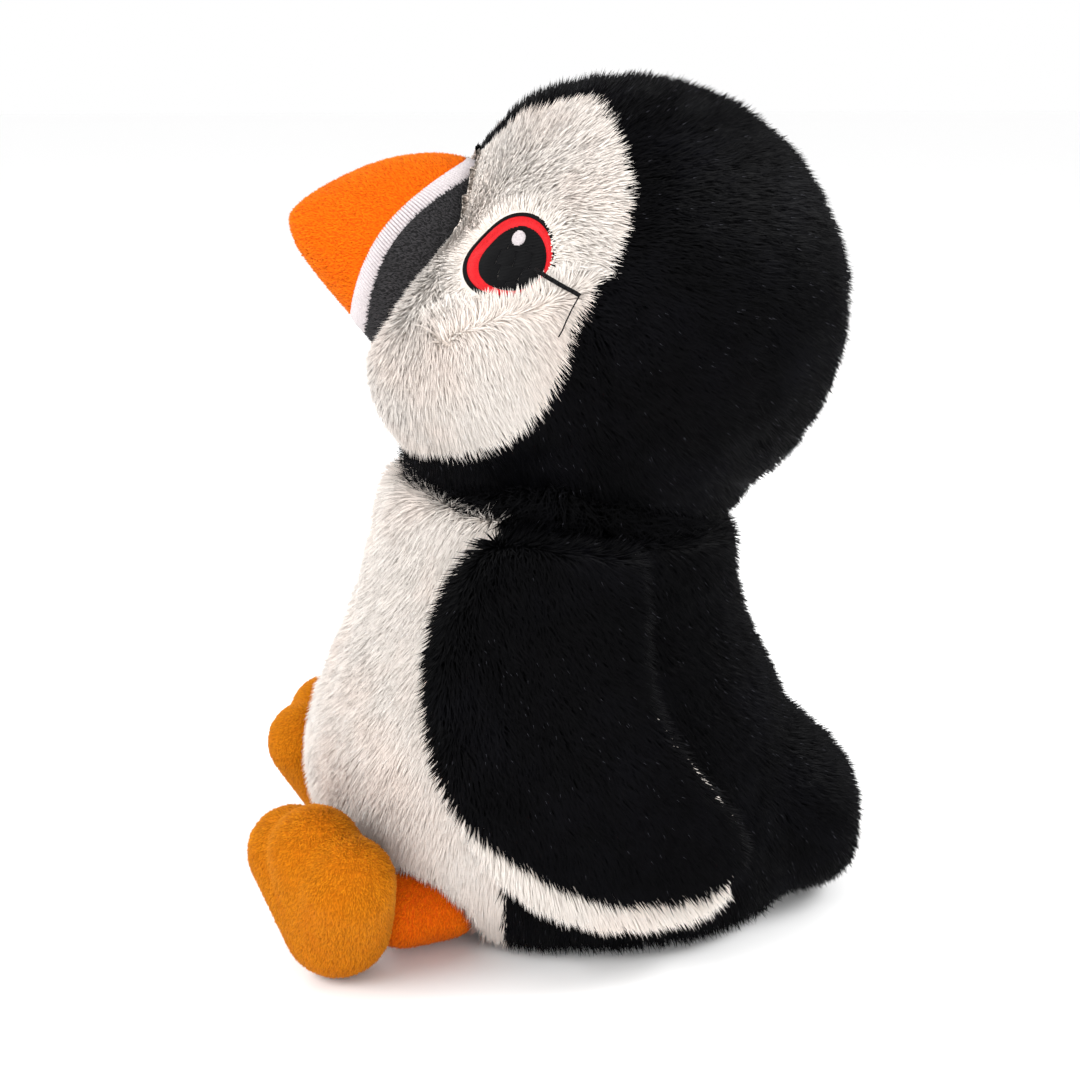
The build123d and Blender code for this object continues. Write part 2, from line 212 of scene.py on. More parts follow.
def relaxed(mesh, points, rounds, share=0.5):
    edges = np.empty(len(mesh.edges) * 2, int)
    mesh.edges.foreach_get("vertices", edges)
    a, b = edges.reshape(-1, 2).T
    count = np.bincount(np.concatenate((a, b)), minlength=len(points)).reshape(-1, 1)
    for _ in range(rounds):
        total = np.zeros_like(points)
        np.add.at(total, a, points[b])
        np.add.at(total, b, points[a])
        points = points * (1 - share) + total / np.maximum(count, 1) * share
    return points


def smooth(mesh):
    mesh.polygons.foreach_set("use_smooth", [True] * len(mesh.polygons))


def treeOf(mesh):
    work = bmesh.new()
    work.from_mesh(mesh)
    tree = BVHTree.FromBMesh(work)
    work.free()
    return tree


# the evaluated object as a plain mesh
def baked(thing, name):
    depsgraph = bpy.context.evaluated_depsgraph_get()
    mesh = bpy.data.meshes.new_from_object(thing.evaluated_get(depsgraph))
    mesh.name = name
    return mesh


joining = {"from": 3 * mm, "over": 12 * mm}  # how near a cloth is drawn in less, beside the part it meets


# one closed, softened form around several CAD solids, drawn in by the height of its pile
def clothForm(name, solids, form):
    work = bmesh.new()
    for solid in solids:
        work.from_mesh(nodes[solid].data)
    mesh = bpy.data.meshes.new(name)
    work.to_mesh(mesh)
    work.free()
    thing = linked(name, mesh)
    remesh = thing.modifiers.new("remesh", "REMESH")
    remesh.mode = "VOXEL"
    remesh.voxel_size = form["voxel"]
    thing.data = baked(thing, name)
    thing.modifiers.clear()
    mesh = thing.data
    points = relaxed(mesh, coordinates(mesh), form["soften"])
    setCoordinates(mesh, points)
    inset = np.full((len(points), 1), form["inset"])
    if "meets" in form:
        apart = distances(points, form["meets"]).reshape(-1, 1)
        inset *= np.clip((apart - joining["from"]) / joining["over"], 0, 1)
    setCoordinates(mesh, points - normalsOf(mesh) * inset)
    smooth(mesh)
    return thing


trees = {}


def distances(points, solid):
    if solid not in trees:
        trees[solid] = treeOf(nodes[solid].data)
    return np.array([trees[solid].find_nearest(Vector(p))[3] for p in points])


farthest = 5 * mm  # a panel's pile never grows further than this from the panel


def middle(node):
    low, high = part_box(node)
    return (np.array(low) + np.array(high)) / 2


# how far each point lies inside the area of one panel: above 0 where that panel is the nearest one
def reaches(points, panels):
    near = {panel: distances(points, panel) for panel in panels}
    reach = {}
    for panel in panels:
        others = np.min([near[other] for other in panels if other != panel], axis=0)
        reach[panel] = np.minimum(others - near[panel], farthest - near[panel])
    return reach


def attributeOf(mesh, name, kind, values):
    found = mesh.attributes.get(name) or mesh.attributes.new(name, kind, "POINT")
    found.data.foreach_set("value" if kind == "FLOAT" else "vector", np.asarray(values, np.float32).ravel())


# choice says, for each point, which of the materials named its faces take
def paint(thing, names, choice):
    for name in names:
        thing.data.materials.append(materials[name])
    faces = [int(round(sum(choice[v] for v in polygon.vertices) / len(polygon.vertices)))
             for polygon in thing.data.polygons]
    thing.data.polygons.foreach_set("material_index", faces)
    thing.data.update()


stuffedCloth = {"quality": 4, "mass": 0.2, "stretch": 12, "sewnFrom": 0.05}


# stuffing pushes the cloth out between its seams, which stay where they are sewn
def puff(thing, seamShare, fill):
    mesh = thing.data
    start = coordinates(mesh).copy()
    sewn = thing.vertex_groups.new(name="sewn")
    for index in np.nonzero(seamShare > stuffedCloth["sewnFrom"])[0]:
        sewn.add([int(index)], float(seamShare[index]), "REPLACE")
    cloth = thing.modifiers.new("cloth", "CLOTH")
    cloth.settings.use_pressure = True
    cloth.settings.uniform_pressure_force = fill["pressure"]
    cloth.settings.effector_weights.gravity = 0
    cloth.settings.quality = stuffedCloth["quality"]
    cloth.settings.mass = stuffedCloth["mass"]
    cloth.settings.tension_stiffness = stuffedCloth["stretch"]
    cloth.settings.compression_stiffness = stuffedCloth["stretch"]
    cloth.settings.bending_stiffness = fill["bending"]
    cloth.settings.vertex_group_mass = "sewn"
    cloth.point_cache.frame_start = 1
    cloth.point_cache.frame_end = fill["frames"]
    for step in range(1, fill["frames"] + 1):
        bpy.context.scene.frame_set(step)
    swollen = baked(thing, mesh.name)
    moved = coordinates(swollen) - start
    far = np.linalg.norm(moved, axis=1, keepdims=True)
    moved *= np.minimum(1, fill["cap"] / np.maximum(far, 1e-9))
    thing.modifiers.clear()
    thing.vertex_groups.clear()
    bpy.data.meshes.remove(swollen)
    setCoordinates(mesh, start + moved)
    bpy.context.scene.frame_set(1)


# a fibre lock: three fine sides that lean over and meet in a point
def lockObject():
    mesh = bpy.data.meshes.new("lock")
    base = [(0.5 * math.cos(turn), 0.5 * math.sin(turn), 0.0) for turn in (0.0, 2.094, 4.189)]
    mesh.from_pydata(base + [(0.0, 0.0, 1.0)], [], [(0, 1, 3), (1, 2, 3), (2, 0, 3)])
    attributeOf(mesh, "along", "FLOAT", [0, 0, 0, 1])
    return linked("lock", mesh)


# twist is in radians either way; the two lengths are shares of the pile's own length
lockSpread = {"twist": 0.9, "shortest": 0.72, "tallest": 1.12, "clumpDetail": 1.5}


# locks scattered over a cloth, leaning the way it is combed, in clumps and a little out of order
def pileTree():
    tree = bpy.data.node_groups.new("pile", "GeometryNodeTree")
    tree.interface.new_socket("Geometry", in_out="INPUT", socket_type="NodeSocketGeometry")
    for name, kind in (("Lock", "Object"), ("Density", "Float"), ("Length", "Float"), ("Width", "Float"),
                       ("Lay", "Float"), ("Mess", "Float"), ("Clump Size", "Float"), ("Clump", "Float"),
                       ("Seed", "Int"), ("Material", "Material")):
        tree.interface.new_socket(name, in_out="INPUT", socket_type="NodeSocket" + kind)
    tree.interface.new_socket("Geometry", in_out="OUTPUT", socket_type="NodeSocketGeometry")
    given = addNode(tree, "NodeGroupInput").outputs
    scatter = addNode(tree, "GeometryNodeDistributePointsOnFaces",
                      {"Mesh": given["Geometry"], "Density": given["Density"], "Seed": given["Seed"]})
    reach = addNode(tree, "GeometryNodeInputNamedAttribute", {"Name": "reach"}, data_type="FLOAT")
    outside = addNode(tree, "FunctionNodeCompare", {0: reach.outputs["Attribute"], 1: 0.0},
                      data_type="FLOAT", operation="LESS_THAN")
    kept = addNode(tree, "GeometryNodeDeleteGeometry",
                   {"Geometry": scatter.outputs["Points"], "Selection": outside.outputs["Result"]})
    normal = scatter.outputs["Normal"]
    comb = addNode(tree, "GeometryNodeInputNamedAttribute", {"Name": "comb"}, data_type="FLOAT_VECTOR")
    size = addNode(tree, "GeometryNodeInputNamedAttribute", {"Name": "size"}, data_type="FLOAT")
    place = addNode(tree, "GeometryNodeInputPosition")
    fine = addNode(tree, "ShaderNodeMath", {0: 1.0, 1: given["Clump Size"]}, operation="DIVIDE")
    cloud = addNode(tree, "ShaderNodeTexNoise",
                    {"Vector": place.outputs["Position"], "Scale": fine.outputs[0],
                     "Detail": lockSpread["clumpDetail"]})
    centred = addNode(tree, "ShaderNodeVectorMath", {0: cloud.outputs["Color"], 1: (0.5, 0.5, 0.5)},
                      operation="SUBTRACT")
    clumped = addNode(tree, "ShaderNodeVectorMath", {0: centred.outputs[0], "Scale": given["Clump"]},
                      operation="SCALE")
    wild = addNode(tree, "FunctionNodeRandomValue",
                   {"Min": (-1, -1, -1), "Max": (1, 1, 1), "Seed": given["Seed"]}, data_type="FLOAT_VECTOR")
    messy = addNode(tree, "ShaderNodeVectorMath", {0: wild.outputs["Value"], "Scale": given["Mess"]},
                    operation="SCALE")
    laid = addNode(tree, "ShaderNodeVectorMath", {0: comb.outputs["Attribute"], "Scale": given["Lay"]},
                   operation="SCALE")
    sums = normal
    for term in (laid, clumped, messy):
        added = addNode(tree, "ShaderNodeVectorMath", {0: sums, 1: term.outputs[0]}, operation="ADD")
        sums = added.outputs[0]
    turned = addNode(tree, "FunctionNodeAxesToRotation",
                     {"Primary Axis": sums, "Secondary Axis": comb.outputs["Attribute"]},
                     primary_axis="Z", secondary_axis="X")
    twist = addNode(tree, "FunctionNodeRandomValue",
                    {2: -lockSpread["twist"], 3: lockSpread["twist"], "Seed": given["Seed"]},
                    data_type="FLOAT")
    spin = addNode(tree, "ShaderNodeCombineXYZ", {"Z": twist.outputs[1]})
    facing = addNode(tree, "FunctionNodeRotateRotation",
                     {"Rotation": turned.outputs["Rotation"], "Rotate By": spin.outputs[0]},
                     rotation_space="LOCAL")
    uneven = addNode(tree, "FunctionNodeRandomValue",
                     {2: lockSpread["shortest"], 3: lockSpread["tallest"], "Seed": given["Seed"]},
                     data_type="FLOAT")
    tall = addNode(tree, "ShaderNodeMath", {0: given["Length"], 1: uneven.outputs[1]}, operation="MULTIPLY")
    height = addNode(tree, "ShaderNodeMath", {0: tall.outputs[0], 1: size.outputs["Attribute"]},
                     operation="MULTIPLY")
    scale = addNode(tree, "ShaderNodeCombineXYZ",
                    {"X": given["Width"], "Y": given["Width"], "Z": height.outputs[0]})
    lock = addNode(tree, "GeometryNodeObjectInfo", {"Object": given["Lock"]})
    rooted = addNode(tree, "GeometryNodeStoreNamedAttribute",
                     {"Geometry": kept.outputs["Geometry"], "Name": "rootNormal", "Value": normal},
                     data_type="FLOAT_VECTOR", domain="POINT")
    tone = addNode(tree, "FunctionNodeRandomValue", {"Seed": given["Seed"]}, data_type="FLOAT")
    toned = addNode(tree, "GeometryNodeStoreNamedAttribute",
                    {"Geometry": rooted.outputs["Geometry"], "Name": "shade", "Value": tone.outputs[1]},
                    data_type="FLOAT", domain="POINT")
    placed = addNode(tree, "GeometryNodeInstanceOnPoints",
                     {"Points": toned.outputs["Geometry"], "Instance": lock.outputs["Geometry"],
                      "Rotation": facing.outputs["Rotation"], "Scale": scale.outputs[0]})
    real = addNode(tree, "GeometryNodeRealizeInstances", {"Geometry": placed.outputs["Instances"]})
    finished = addNode(tree, "GeometryNodeSetMaterial",
                       {"Geometry": real.outputs["Geometry"], "Material": given["Material"]})
    addNode(tree, "NodeGroupOutput", {"Geometry": finished.outputs["Geometry"]})
    return tree


lockShape = lockObject()
pileNodes = pileTree()


def setInputs(modifier, values):
    sockets = {item.name: item.identifier for item in modifier.node_group.interface.items_tree
               if item.item_type == "SOCKET" and item.in_out == "INPUT"}
    for name, value in values.items():
        modifier[sockets[name]] = value


# one panel's pile, grown on its cloth where reach is above 0, with the cloth's own soft shading
def growPile(name, cloth, reach, comb, size, pile, seed):
    source = linked(name + "Source", cloth.data.copy())
    mesh = source.data
    normals = normalsOf(mesh)
    flow = comb - normals * np.sum(comb * normals, axis=1, keepdims=True)
    attributeOf(mesh, "reach", "FLOAT", reach)
    attributeOf(mesh, "comb", "FLOAT_VECTOR", unit(flow))
    attributeOf(mesh, "size", "FLOAT", size)
    grow = source.modifiers.new("pile", "NODES")
    grow.node_group = pileNodes
    setInputs(grow, {"Lock": lockShape, "Density": pile["perSquareMm"] / mm / mm, "Length": pile["length"],
                     "Width": pile["width"], "Lay": pile["lay"], "Mess": pile["mess"],
                     "Clump Size": pile["clumpSize"], "Clump": pile["clump"], "Seed": seed,
                     "Material": materials[pile["material"]]})
    mesh = baked(source, name)
    bpy.data.objects.remove(source)
    thing = linked(name, mesh)
    roots = np.empty(len(mesh.vertices) * 3)
    mesh.attributes["rootNormal"].data.foreach_get("vector", roots)
    own = normalsOf(mesh)
    roots = roots.reshape(-1, 3)
    own *= np.where(np.sum(own * roots, axis=1, keepdims=True) < 0, -1, 1)
    mesh.attributes.remove(mesh.attributes["rootNormal"])
    for extra in ("reach", "comb", "size"):
        if extra in mesh.attributes:
            mesh.attributes.remove(mesh.attributes[extra])
    smooth(mesh)
    soft = unit(roots * pile["softShade"] + own * (1 - pile["softShade"]))
    mesh.normals_split_custom_set_from_vertices(soft)
    print(name, len(mesh.polygons) // 3, "locks")
    return thing


# one satin stitch: a low arched thread that dives into the cloth at both ends
def stitchObject():
    mesh = bpy.data.meshes.new("stitch")
    arch = ((-0.5, 0.05), (-0.38, 0.75), (0.0, 1.0), (0.38, 0.75), (0.5, 0.05))
    turns = [math.radians(degrees) for degrees in (0, 60, 120, 180)]
    sunk = 0.1
    points = [(x, 0.5 * math.cos(turn), z * math.sin(turn) - sunk) for x, z in arch for turn in turns]
    faces = [(4 * i + j, 4 * i + j + 4, 4 * i + j + 5, 4 * i + j + 1)
             for i in range(len(arch) - 1) for j in range(len(turns) - 1)]
    mesh.from_pydata(points, [], faces)
    smooth(mesh)
    return linked("stitch", mesh)


# one thread on each point, as long as its "across" vector, its height varying by a tenth
def stitchTree():
    tree = bpy.data.node_groups.new("stitches", "GeometryNodeTree")
    tree.interface.new_socket("Geometry", in_out="INPUT", socket_type="NodeSocketGeometry")
    for name, kind in (("Stitch", "Object"), ("Thread Width", "Float"), ("Thread Height", "Float"),
                       ("Seed", "Int"), ("Material", "Material")):
        tree.interface.new_socket(name, in_out="INPUT", socket_type="NodeSocket" + kind)
    tree.interface.new_socket("Geometry", in_out="OUTPUT", socket_type="NodeSocketGeometry")
    given = addNode(tree, "NodeGroupInput").outputs
    up = addNode(tree, "GeometryNodeInputNamedAttribute", {"Name": "up"}, data_type="FLOAT_VECTOR")
    across = addNode(tree, "GeometryNodeInputNamedAttribute", {"Name": "across"}, data_type="FLOAT_VECTOR")
    length = addNode(tree, "ShaderNodeVectorMath", {0: across.outputs["Attribute"]}, operation="LENGTH")
    turned = addNode(tree, "FunctionNodeAxesToRotation",
                     {"Primary Axis": up.outputs["Attribute"], "Secondary Axis": across.outputs["Attribute"]},
                     primary_axis="Z", secondary_axis="X")
    uneven = addNode(tree, "FunctionNodeRandomValue", {2: 0.9, 3: 1.1, "Seed": given["Seed"]},
                     data_type="FLOAT")
    height = addNode(tree, "ShaderNodeMath", {0: given["Thread Height"], 1: uneven.outputs[1]},
                     operation="MULTIPLY")
    scale = addNode(tree, "ShaderNodeCombineXYZ",
                    {"X": length.outputs["Value"], "Y": given["Thread Width"], "Z": height.outputs[0]})
    stitch = addNode(tree, "GeometryNodeObjectInfo", {"Object": given["Stitch"]})
    points = addNode(tree, "GeometryNodeMeshToPoints", {"Mesh": given["Geometry"]})
    placed = addNode(tree, "GeometryNodeInstanceOnPoints",
                     {"Points": points.outputs["Points"], "Instance": stitch.outputs["Geometry"],
                      "Rotation": turned.outputs["Rotation"], "Scale": scale.outputs[0]})
    real = addNode(tree, "GeometryNodeRealizeInstances", {"Geometry": placed.outputs["Instances"]})
    finished = addNode(tree, "GeometryNodeSetMaterial",
                       {"Geometry": real.outputs["Geometry"], "Material": given["Material"]})
    addNode(tree, "NodeGroupOutput", {"Geometry": finished.outputs["Geometry"]})
    return tree


stitchShape = stitchObject()
stitchNodes = stitchTree()


# stitches between pairs of points on the cloth; up is the cloth's outward direction there
def sew(name, starts, ends, ups, thread, seed):
    starts, ends = np.array(starts), np.array(ends)
    mesh = bpy.data.meshes.new(name)
    mesh.from_pydata([tuple(p) for p in (starts + ends) / 2], [], [])
    attributeOf(mesh, "across", "FLOAT_VECTOR", ends - starts)
    attributeOf(mesh, "up", "FLOAT_VECTOR", np.array(ups))
    source = linked(name + "Source", mesh)
    rows = source.modifiers.new("stitches", "NODES")
    rows.node_group = stitchNodes
    setInputs(rows, {"Stitch": stitchShape, "Thread Width": thread["width"],
                     "Thread Height": thread["height"], "Seed": seed,
                     "Material": materials[thread["material"]]})
    mesh = baked(source, name)
    bpy.data.objects.remove(source)
    return linked(name, mesh)


# a piece rides on its body, and stands for its CAD solids
def finish(thing, body, slot, *solids):
    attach(thing, body)
    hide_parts(*solids)
    return thing


# lay is how far a lock leans with the comb, mess how far at random, clump how far towards its neighbours
whiteFur = {"material": "whitePile", "perSquareMm": 4.4, "length": 7.0 * mm, "width": 0.62 * mm, "lay": 1.3,
            "mess": 0.24, "clumpSize": 8 * mm, "clump": 1.0, "softShade": 0.9}
blackFur = {"material": "blackPile", "perSquareMm": 2.6, "length": 7.2 * mm, "width": 0.85 * mm, "lay": 1.0,
            "mess": 0.36, "clumpSize": 9 * mm, "clump": 1.5, "softShade": 0.5}
goldPlush = {"material": "goldPile", "perSquareMm": 4.4, "length": 1.2 * mm, "width": 0.56 * mm, "lay": 0.9,
             "mess": 0.4, "clumpSize": 1.3 * mm, "clump": 2.6, "softShade": 0.7}
orangePlush = dict(goldPlush, material="orangePile")
greyPlush = dict(goldPlush, material="greyPile")
slotOf = {"whitePile": "white_fur", "blackPile": "black_fur", "goldPile": "golden_plush",
          "orangePile": "orange_plush", "greyPile": "grey_plush"}


def dress(body, cloth, panels, comb, size, firstSeed):
    points = coordinates(cloth.data)
    reach = reaches(points, list(panels))
    for number, (panel, pile) in enumerate(panels.items()):
        parts = {"_pile": reach[panel]}
        if panel == "belly_panel":  # two halves, so that neither piece is too heavy
            parts = {"_pile_" + side: np.minimum(reach[panel], points[:, 0] * sides[side]) for side in sides}
        for part, area in parts.items():
            thing = growPile(panel + part, cloth, area, comb, size, pile, firstSeed + number)
            finish(thing, body, slotOf[pile["material"]], panel)
    return reach


torsoCloth = {"voxel": 2.6 * mm, "soften": 8, "inset": 3.2 * mm, "meets": "neck_stuffing", "fill": 0.9}
# the fur hangs down, backwards over the tail, and is pressed short and flat under the seat; places are in mm
torsoFur = {"spread": 0.006, "parting": 0.004, "tailFrom": 70, "tailLift": 0.25, "seatBelow": 8,
            "shortest": 0.45, "fullBy": 14, "seed": 10}
torsoPanels = {"belly_panel": whiteFur, "back_panel_left": blackFur, "back_panel_right": blackFur,
               "base_panel": dict(blackFur, perSquareMm=1.2, length=4.5 * mm),
               "tail_upper_panel": blackFur, "tail_lower_panel": blackFur}


def makeTorso():
    solids = list(torsoPanels) + ["torso_stuffing", "tail_stuffing", "bean_pouch", "bean_pellets"]
    cloth = clothForm("torso_cloth", solids, torsoCloth)
    x, y, z = coordinates(cloth.data).T / mm
    backward = torsoFur["parting"] * y + torsoFur["tailLift"] * (y > torsoFur["tailFrom"])
    comb = np.stack((torsoFur["spread"] * x, backward, -np.ones_like(x)), 1)
    comb[z < torsoFur["seatBelow"]] = (0, 1, 0)
    size = np.clip(torsoFur["shortest"] + z / torsoFur["fullBy"], torsoFur["shortest"], 1)
    reach = dress("torso", cloth, torsoPanels, comb, size, torsoFur["seed"])
    paint(cloth, ("blackKnit", "whiteKnit"), reach["belly_panel"] > 0)
    finish(cloth, "torso", "fibre_fill", "torso_stuffing", "tail_stuffing", "bean_pouch", "bean_pellets")


makeTorso()
print("torso done")


# the fur round the neck is longer and stands nearly upright, in a band round the ball of filling
neckCloth = {"voxel": 3 * mm, "soften": 2, "inset": 1.5 * mm, "fill": 0.9}
neckFur = dict(blackFur, lay=0.15, mess=0.5, length=11 * mm, perSquareMm=1.7)
neckBand = {"below": 14 * mm, "above": 26 * mm, "lean": 0.17, "seed": 30}


def makeNeck():
    cloth = clothForm("neck_cloth", ["neck_stuffing"], neckCloth)
    points = coordinates(cloth.data)
    offset = points - middle("neck_stuffing")
    height = offset[:, 2] + neckBand["lean"] * offset[:, 1]
    reach = np.minimum(height + neckBand["below"], neckBand["above"] - height)
    comb = np.tile((0.0, 0.0, -1.0), (len(points), 1))
    pile = growPile("neck_pile", cloth, reach, comb, np.ones(len(points)), neckFur, neckBand["seed"])
    paint(cloth, ("blackKnit",), np.zeros(len(points)))
    finish(pile, "neck", "black_fur")
    finish(cloth, "neck", "fibre_fill", "neck_stuffing")


makeNeck()
print("neck done")


headCloth = {"voxel": 2.4 * mm, "soften": 8, "inset": 4.0 * mm, "meets": "neck_stuffing", "fill": 0.9}
headPanels = {"face_mask_left": whiteFur, "face_mask_right": whiteFur, "crown_panel": blackFur,
              "head_back_panel_left": blackFur, "head_back_panel_right": blackFur, "chin_panel": blackFur}
# the fur runs back from the beak and down, and is clipped short beside the beak
headFur = {"beakAt": (0, -32, 208), "fall": (0, 0.15, -0.45), "shortUntil": 2 * mm, "fullOver": 14 * mm,
           "shortest": 0.2, "seed": 40}
eye = {"ballAt": (0, 21.5, 198.5), "radius": 13.4 * mm, "outline": 1.25 * mm, "pupil": 9.9 * mm,
       "pupilAt": (0.9 * mm, -0.6 * mm), "highlight": 2.2 * mm, "highlightAt": (0.4 * mm, 5.6 * mm),
       "threadGap": 0.42 * mm}
# the eye lies in a bare opening; below a slanting lid line the cheek's fur is combed up over it
eyeFur = {"within": 30 * mm, "clear": 0.4 * mm, "shift": 1.3 * mm, "narrow": 1.1, "lidAt": 13.0 * mm,
          "lidAlong": 0.54, "lidUp": 0.84, "cheekOver": 8 * mm, "cheekBelow": 5 * mm, "cheekComb": 2.2,
          "cheekSize": 0.62, "asideOver": 6 * mm, "asideComb": 2, "some": 0.05,
          "shortest": 0.25, "fullOver": 9 * mm}


# the eye's centre, and its directions outwards, along the head and upwards
def eyePlane(side):
    centre = middle("eye_outline_" + side)
    out = unit(centre - np.array(eye["ballAt"]) * mm)
    along = unit(np.cross((0, 0, 1), out)) * sides[side]
    return centre, out, along, np.cross(out, along) * sides[side]


def makeHead():
    solids = list(headPanels) + ["head_stuffing"]
    cloth = clothForm("head_cloth", solids, headCloth)
    points = coordinates(cloth.data)
    comb = unit(points - np.array(headFur["beakAt"]) * mm) + headFur["fall"]
    fromBeak = distances(points, "beak_grey_band") - headFur["shortUntil"]
    size = np.clip(fromBeak / headFur["fullOver"], headFur["shortest"], 1)
    reach = reaches(points, list(headPanels))
    white = np.maximum(reach["face_mask_left"], reach["face_mask_right"])
    dark = np.max([reach[panel] for panel in headPanels if "mask" not in panel], axis=0)
    paint(cloth, ("blackKnit", "whiteKnit"), white > dark)
    for side in sides:
        centre, out, along, up = eyePlane(side)
        away = points - centre
        u, v = away @ along, away @ up
        lid = u * eyeFur["lidAlong"] - v * eyeFur["lidUp"] - eyeFur["lidAt"]
        opening = np.hypot((u + eyeFur["shift"]) * eyeFur["narrow"], v)
        near = np.maximum(opening - eye["radius"] - eyeFur["clear"], lid)
        close = np.linalg.norm(away, axis=1) < eyeFur["within"]
        near = np.where(close, near, 1)
        cheek = np.clip(1 - np.abs(lid) / eyeFur["cheekOver"], 0, 1) ** 1.5 * close
        cheek *= np.clip(-v / eyeFur["cheekBelow"], 0, 1)
        aside = np.clip(1 - near / eyeFur["asideOver"], 0, 1) * close * (cheek < eyeFur["some"])
        overEye = up * eyeFur["lidUp"] - along * eyeFur["lidAlong"]
        comb += np.outer(cheek, overEye) * eyeFur["cheekComb"]
        fromEye = (np.outer(u, along) + np.outer(v, up)) / eye["radius"]
        comb += fromEye * aside[:, None] * eyeFur["asideComb"]
        for panel in headPanels:
            reach[panel] = np.minimum(reach[panel], near)
        clipped = np.clip(eyeFur["shortest"] + near / eyeFur["fullOver"], eyeFur["shortest"], 1)
        size = size * np.maximum(clipped, eyeFur["cheekSize"] * (cheek > eyeFur["some"]))
    for number, (panel, pile) in enumerate(headPanels.items()):
        thing = growPile(panel + "_pile", cloth, reach[panel], comb, size, pile, headFur["seed"] + number)
        finish(thing, "head", slotOf[pile["material"]], panel)
    finish(cloth, "head", "fibre_fill", "head_stuffing")
    return cloth


headThing = makeHead()
print("head done")


# the point and normal of the cloth straight under a place on the eye's plane
def onCloth(tree, plane, u, v, lift):
    centre, out, along, up = plane
    place = centre + along * u + up * v
    above = out * 20 * mm
    hit, normal, _, _ = tree.ray_cast(Vector(place + above), Vector(-out))
    if hit is None:
        hit, normal, _, _ = tree.find_nearest(Vector(place))
    return np.array(hit) + np.array(normal) * lift, np.array(normal)


longestStitch = 5.5 * mm


# rows of stitches that fill a round patch, parted where another round patch is sewn in
def rowsAcross(radius, centre, gap, hole=None):
    rows = []
    count = int(2 * radius / gap)
    for number in range(count):
        v = -radius + (number + 0.5) * 2 * radius / count
        half = math.sqrt(max(radius * radius - v * v, 0))
        runs = [(-half, half)]
        if hole:
            holeRadius, holeAt = hole
            above = v + centre[1] - holeAt[1]
            if abs(above) < holeRadius:
                parting = math.sqrt(holeRadius ** 2 - above ** 2)
                aside = holeAt[0] - centre[0]
                runs = [(-half, aside - parting), (aside + parting, half)]
        for a, b in runs:
            pieces = max(1, round((b - a) / longestStitch))
            for k in range(pieces):
                rows.append(((a + (b - a) * k / pieces + centre[0], v + centre[1]),
                             (a + (b - a) * (k + 1) / pieces + centre[0], v + centre[1])))
    return rows


# stitches across a ring, from a little inside its inner edge to its outer edge
def radialRows(outer, inner, innerAt, gap, overlap):
    rows = []
    count = int(2 * math.pi * outer / gap)
    for number in range(count):
        turn = 2 * math.pi * number / count
        far = (outer * math.cos(turn), outer * math.sin(turn))
        start = inner - overlap
        rows.append(((innerAt[0] + start * math.cos(turn), innerAt[1] + start * math.sin(turn)), far))
    return rows


eyeThread = {"width": 0.52 * mm, "height": 0.55 * mm, "material": "blackThread"}
redThread = dict(eyeThread, material="redThread")
glintThread = dict(eyeThread, material="whiteThread", height=0.8 * mm)
# the corner stitch is one long thick thread that lies over the fur, with a fine loose end that hangs from it
corner = {"stitches": 7, "from": 9.5 * mm, "step": 2.0 * mm, "length": 2.3 * mm, "turn": math.radians(-21),
          "lift": 4.2 * mm, "thread": dict(eyeThread, width=1.3 * mm, height=1.3 * mm)}
looseEnd = {"points": 7, "back": 0.75 * mm, "curl": 0.02 * mm, "fall": 1.9 * mm, "lift": 5.5 * mm,
            "thread": dict(eyeThread, width=0.4 * mm)}


def makeEye(side):
    tree = treeOf(headThing.data)
    plane = eyePlane(side)
    inner = eye["radius"] - eye["outline"]

    def sewRows(name, rows, thread, lift, seed, slot, *solids):
        starts, ends, ups = [], [], []
        for a, b in rows:
            start, upStart = onCloth(tree, plane, *a, lift)
            end, upEnd = onCloth(tree, plane, *b, lift)
            starts.append(start)
            ends.append(end)
            ups.append(unit(upStart + upEnd))
        finish(sew(name + side, starts, ends, ups, thread, seed), "head", slot, *solids)

    outline = radialRows(eye["radius"], inner, (0, 0), eye["threadGap"], 0.1 * mm)
    sewRows("eye_outline_stitches_", outline, eyeThread, 0.1 * mm, 60, "black_thread", "eye_outline_" + side)
    ring = radialRows(inner, eye["pupil"], eye["pupilAt"], eye["threadGap"], 0.3 * mm)
    sewRows("eye_red_stitches_", ring, redThread, 0.25 * mm, 61, "red_thread", "eye_red_ring_" + side)
    highlight = (eye["highlight"], eye["highlightAt"])
    pupil = rowsAcross(eye["pupil"], eye["pupilAt"], eye["threadGap"], highlight)
    sewRows("eye_pupil_stitches_", pupil, eyeThread, 0.15 * mm, 62, "black_thread", "eye_pupil_" + side)
    glint = rowsAcross(*highlight, eye["threadGap"])
    sewRows("eye_highlight_stitches_", glint, glintThread, 0.3 * mm, 63, "white_thread",
            "eye_highlight_" + side)
    lash = []
    for number in range(corner["stitches"]):
        near = corner["from"] + number * corner["step"]
        lash.append([(reach * math.cos(corner["turn"]), reach * math.sin(corner["turn"]))
                     for reach in (near, near + corner["length"])])
    sewRows("eye_corner_stitches_", lash, corner["thread"], corner["lift"], 64, "black_thread",
            "eye_corner_stitch_" + side)
    u, v = lash[-1][1]
    loose = [(u - n * looseEnd["back"] - n * n * looseEnd["curl"], v - n * looseEnd["fall"])
             for n in range(looseEnd["points"])]
    sewRows("eye_loose_thread_", list(zip(loose, loose[1:])), looseEnd["thread"], looseEnd["lift"], 65,
            "black_thread")


for side in sides:
    makeEye(side)
print("eyes done")


